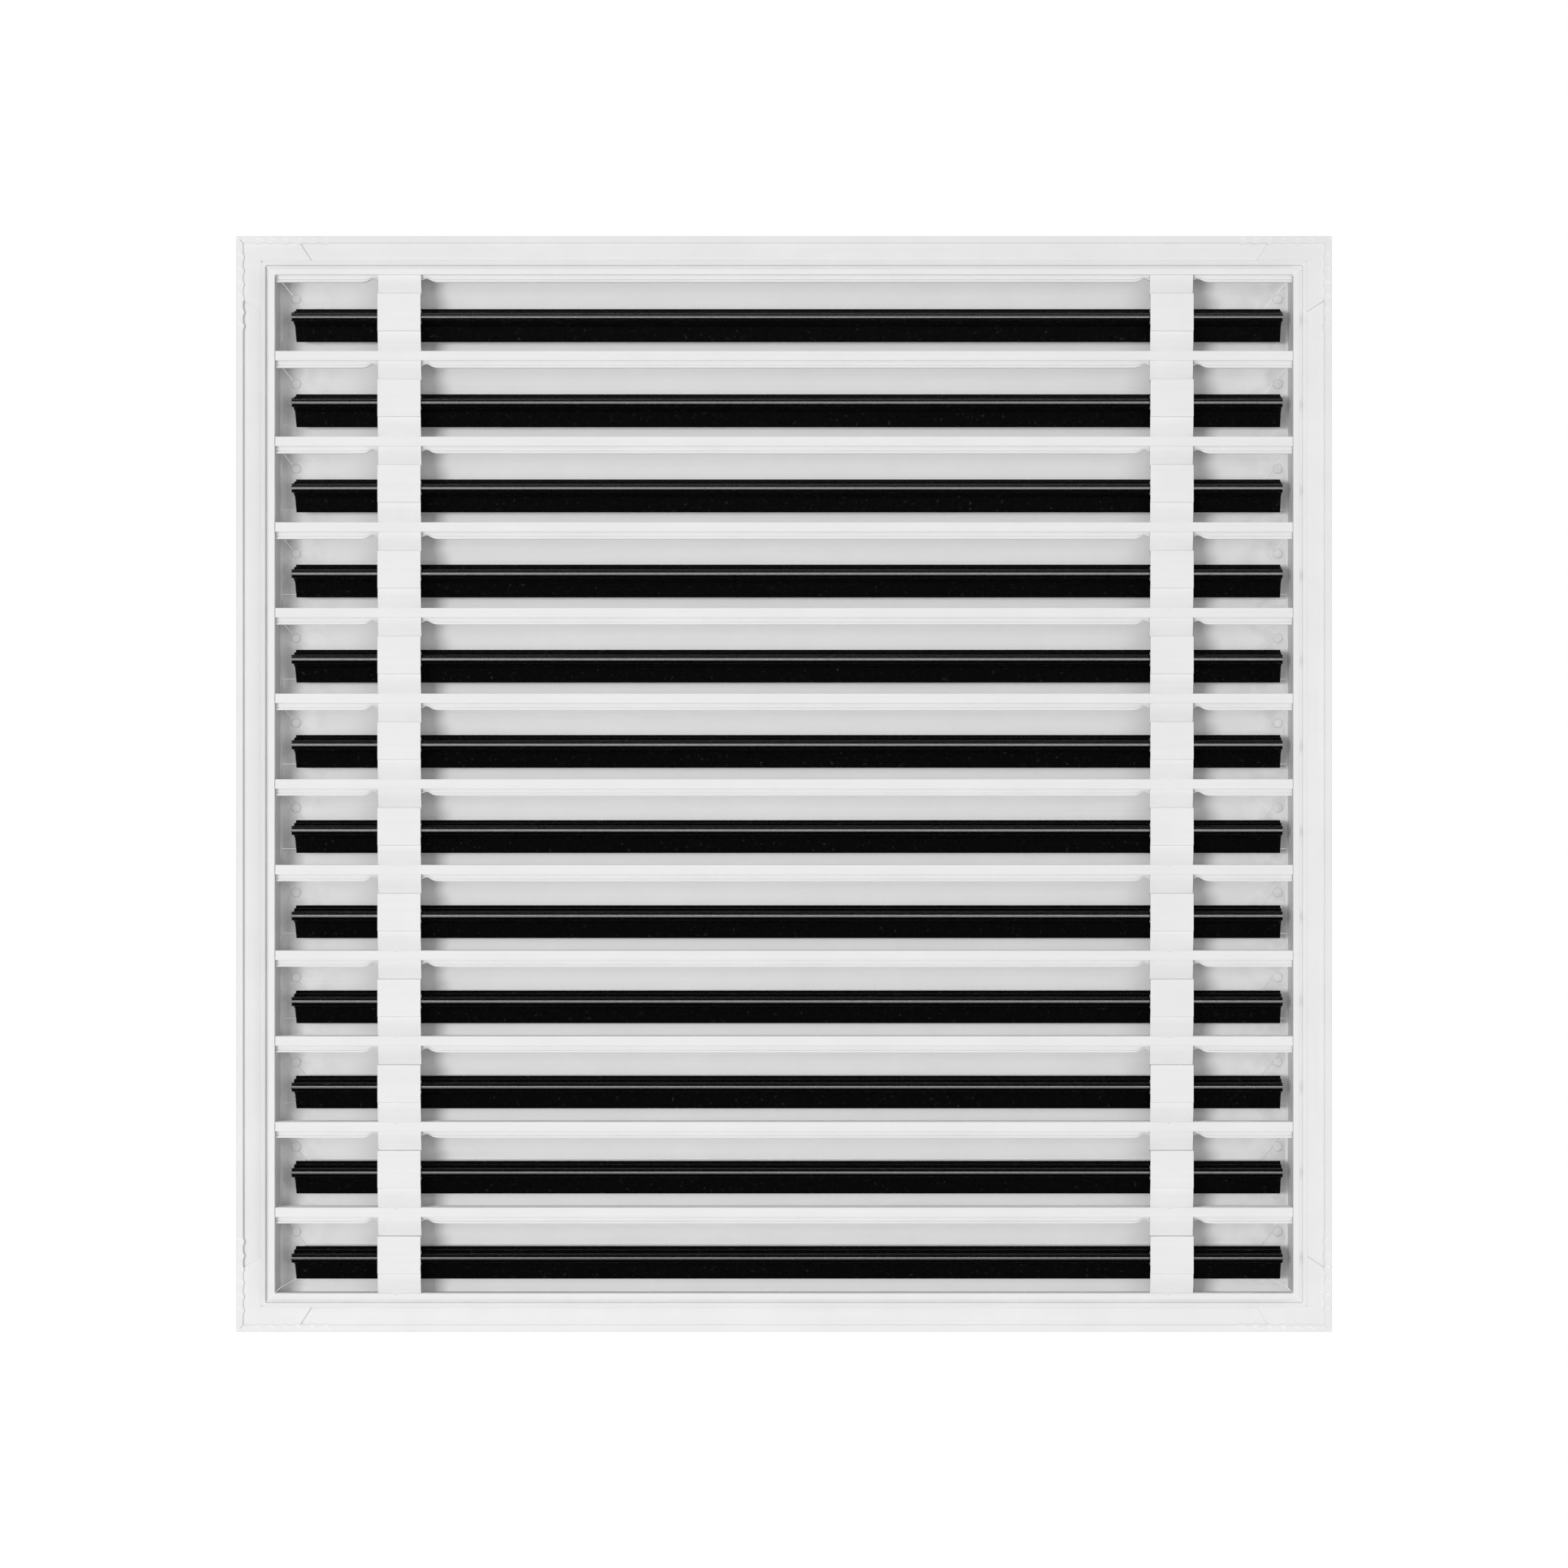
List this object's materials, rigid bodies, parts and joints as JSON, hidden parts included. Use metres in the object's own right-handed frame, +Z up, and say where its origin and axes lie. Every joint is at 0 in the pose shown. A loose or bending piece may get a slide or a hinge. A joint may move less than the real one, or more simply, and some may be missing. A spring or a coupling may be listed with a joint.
{
  "type": "louvred air grille",
  "caption": "White square louvred air grille with slot openings between T-bars and a black turning blade in each slot, held by clip bridges",
  "frame": {"origin": "middle of the plane where the back of the flange meets the wall, in the middle of the neck", "axes": "+X along the slots, -Y into the duct, +Y out of the face into the room, +Z up across the slots"},
  "size_m": [0.654, 0.0365, 0.654],
  "materials": {
    "white_enamel": "satin",
    "black_enamel": "satin"
  },
  "bodies": {
    "frame": {"top_rail": "white_enamel", "bottom_rail": "white_enamel", "left_rail": "white_enamel", "right_rail": "white_enamel", "corner_key_top_left": "white_enamel", "corner_key_top_right": "white_enamel", "corner_key_bottom_left": "white_enamel", "corner_key_bottom_right": "white_enamel", "t_bar_01": "white_enamel", "t_bar_02": "white_enamel", "t_bar_03": "white_enamel", "t_bar_04": "white_enamel", "t_bar_05": "white_enamel", "t_bar_06": "white_enamel", "t_bar_07": "white_enamel", "t_bar_08": "white_enamel", "t_bar_09": "white_enamel", "t_bar_10": "white_enamel", "t_bar_11": "white_enamel", "bridge_left_01": "white_enamel", "bridge_right_01": "white_enamel", "bridge_left_02": "white_enamel", "bridge_right_02": "white_enamel", "bridge_left_03": "white_enamel", "bridge_right_03": "white_enamel", "bridge_left_04": "white_enamel", "bridge_right_04": "white_enamel", "bridge_left_05": "white_enamel", "bridge_right_05": "white_enamel", "bridge_left_06": "white_enamel", "bridge_right_06": "white_enamel", "bridge_left_07": "white_enamel", "bridge_right_07": "white_enamel", "bridge_left_08": "white_enamel", "bridge_right_08": "white_enamel", "bridge_left_09": "white_enamel", "bridge_right_09": "white_enamel", "bridge_left_10": "white_enamel", "bridge_right_10": "white_enamel", "bridge_left_11": "white_enamel", "bridge_right_11": "white_enamel", "bridge_left_12": "white_enamel", "bridge_right_12": "white_enamel"},
    "louvre_body_01": {"blade_01": "black_enamel"},
    "louvre_body_02": {"blade_02": "black_enamel"},
    "louvre_body_03": {"blade_03": "black_enamel"},
    "louvre_body_04": {"blade_04": "black_enamel"},
    "louvre_body_05": {"blade_05": "black_enamel"},
    "louvre_body_06": {"blade_06": "black_enamel"},
    "louvre_body_07": {"blade_07": "black_enamel"},
    "louvre_body_08": {"blade_08": "black_enamel"},
    "louvre_body_09": {"blade_09": "black_enamel"},
    "louvre_body_10": {"blade_10": "black_enamel"},
    "louvre_body_11": {"blade_11": "black_enamel"},
    "louvre_body_12": {"blade_12": "black_enamel"}
  },
  "joints": [
    {"name": "louvre_01", "type": "hinge", "parent": "frame", "child": "louvre_body_01", "pos_m": [0, -0.0262, 0.27635], "axis": [1, 0, 0], "range_deg": [-35, 35]},
    {"name": "louvre_02", "type": "hinge", "parent": "frame", "child": "louvre_body_02", "pos_m": [0, -0.0262, 0.22572], "axis": [1, 0, 0], "range_deg": [-35, 35]},
    {"name": "louvre_03", "type": "hinge", "parent": "frame", "child": "louvre_body_03", "pos_m": [0, -0.0262, 0.17508], "axis": [1, 0, 0], "range_deg": [-35, 35]},
    {"name": "louvre_04", "type": "hinge", "parent": "frame", "child": "louvre_body_04", "pos_m": [0, -0.0262, 0.12445], "axis": [1, 0, 0], "range_deg": [-35, 35]},
    {"name": "louvre_05", "type": "hinge", "parent": "frame", "child": "louvre_body_05", "pos_m": [0, -0.0262, 0.07382], "axis": [1, 0, 0], "range_deg": [-35, 35]},
    {"name": "louvre_06", "type": "hinge", "parent": "frame", "child": "louvre_body_06", "pos_m": [0, -0.0262, 0.02318], "axis": [1, 0, 0], "range_deg": [-35, 35]},
    {"name": "louvre_07", "type": "hinge", "parent": "frame", "child": "louvre_body_07", "pos_m": [0, -0.0262, -0.02745], "axis": [1, 0, 0], "range_deg": [-35, 35]},
    {"name": "louvre_08", "type": "hinge", "parent": "frame", "child": "louvre_body_08", "pos_m": [0, -0.0262, -0.07808], "axis": [1, 0, 0], "range_deg": [-35, 35]},
    {"name": "louvre_09", "type": "hinge", "parent": "frame", "child": "louvre_body_09", "pos_m": [0, -0.0262, -0.12872], "axis": [1, 0, 0], "range_deg": [-35, 35]},
    {"name": "louvre_10", "type": "hinge", "parent": "frame", "child": "louvre_body_10", "pos_m": [0, -0.0262, -0.17935], "axis": [1, 0, 0], "range_deg": [-35, 35]},
    {"name": "louvre_11", "type": "hinge", "parent": "frame", "child": "louvre_body_11", "pos_m": [0, -0.0262, -0.22998], "axis": [1, 0, 0], "range_deg": [-35, 35]},
    {"name": "louvre_12", "type": "hinge", "parent": "frame", "child": "louvre_body_12", "pos_m": [0, -0.0262, -0.28062], "axis": [1, 0, 0], "range_deg": [-35, 35]}
  ]
}
